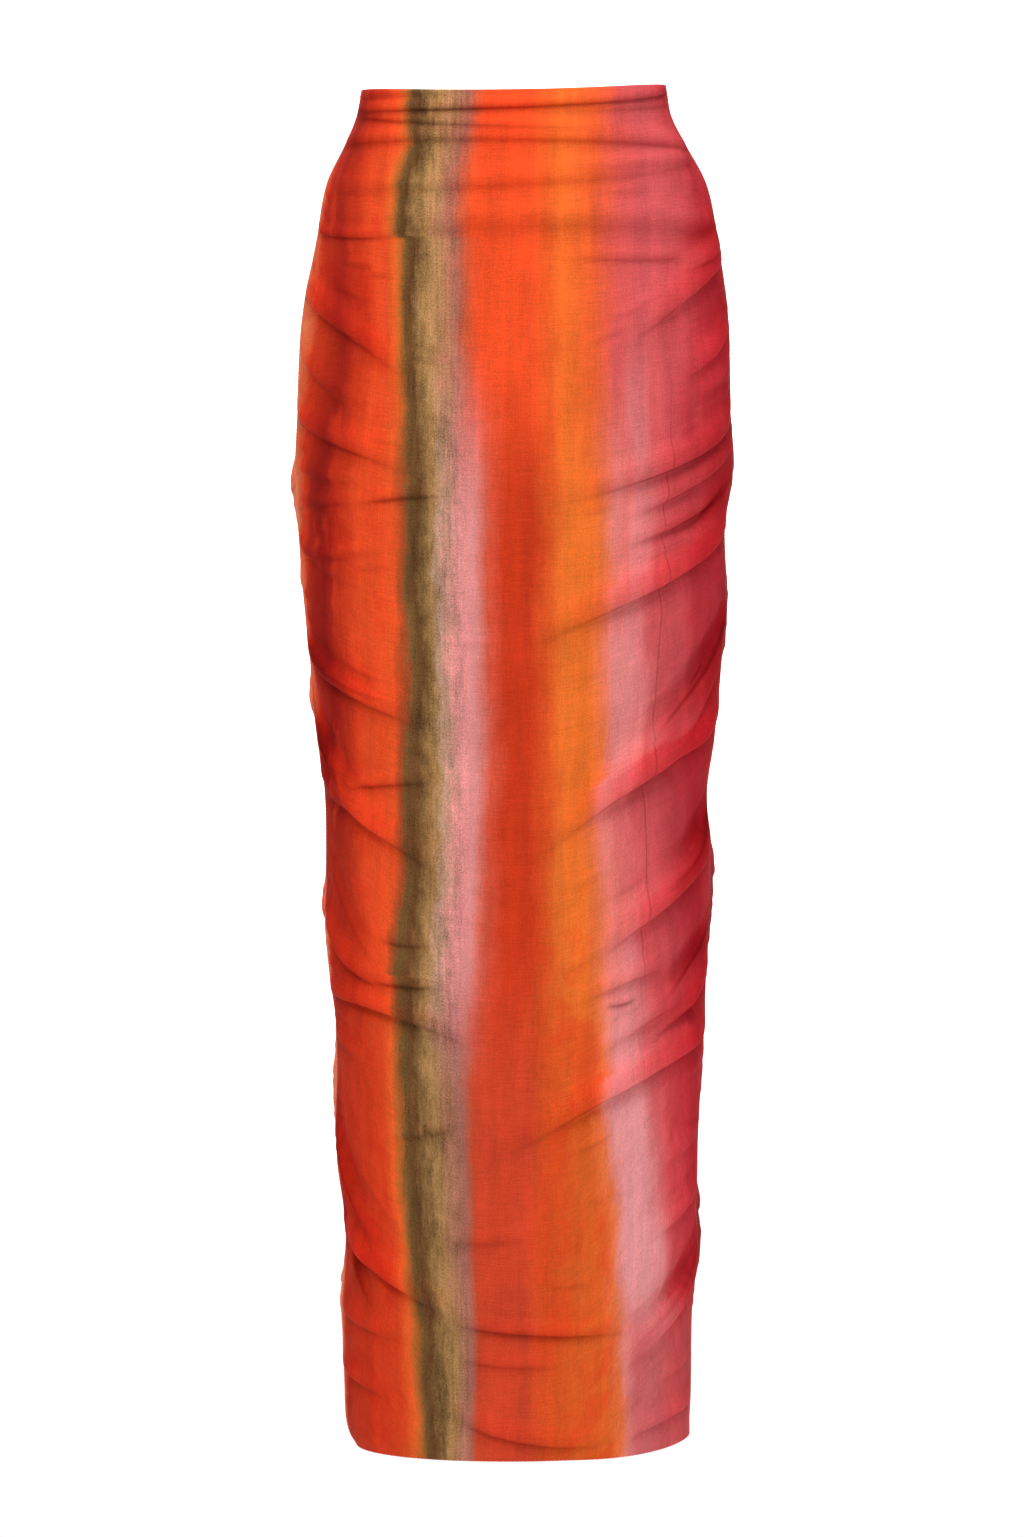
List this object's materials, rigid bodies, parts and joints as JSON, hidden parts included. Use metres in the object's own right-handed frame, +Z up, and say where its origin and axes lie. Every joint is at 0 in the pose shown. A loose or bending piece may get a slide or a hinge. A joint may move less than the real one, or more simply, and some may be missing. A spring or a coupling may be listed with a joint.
{
  "type": "draped sarong skirt",
  "caption": "Floor-length sarong of thin dyed cloth, wrapped into a narrow hollow column and gathered down both sides into long sagging folds, held at the waist.",
  "frame": {"origin": "middle of the waist opening, level with the waist edge at the sides", "axes": "+Z up along the column, the front faces -Y, +X is the right side as seen from the front"},
  "size_m": [0.3569, 0.2227, 1.084],
  "materials": {
    "front_cloth": "soft matte voile, dip-dyed in lengthwise bands",
    "back_cloth": "soft matte voile, dip-dyed in lengthwise bands",
    "inner_cloth": "soft matte voile, dip-dyed rose"
  },
  "bodies": {
    "root": {"front_wrap": "front_cloth", "back_wrap": "back_cloth", "under_lap": "inner_cloth"}
  },
  "joints": []
}
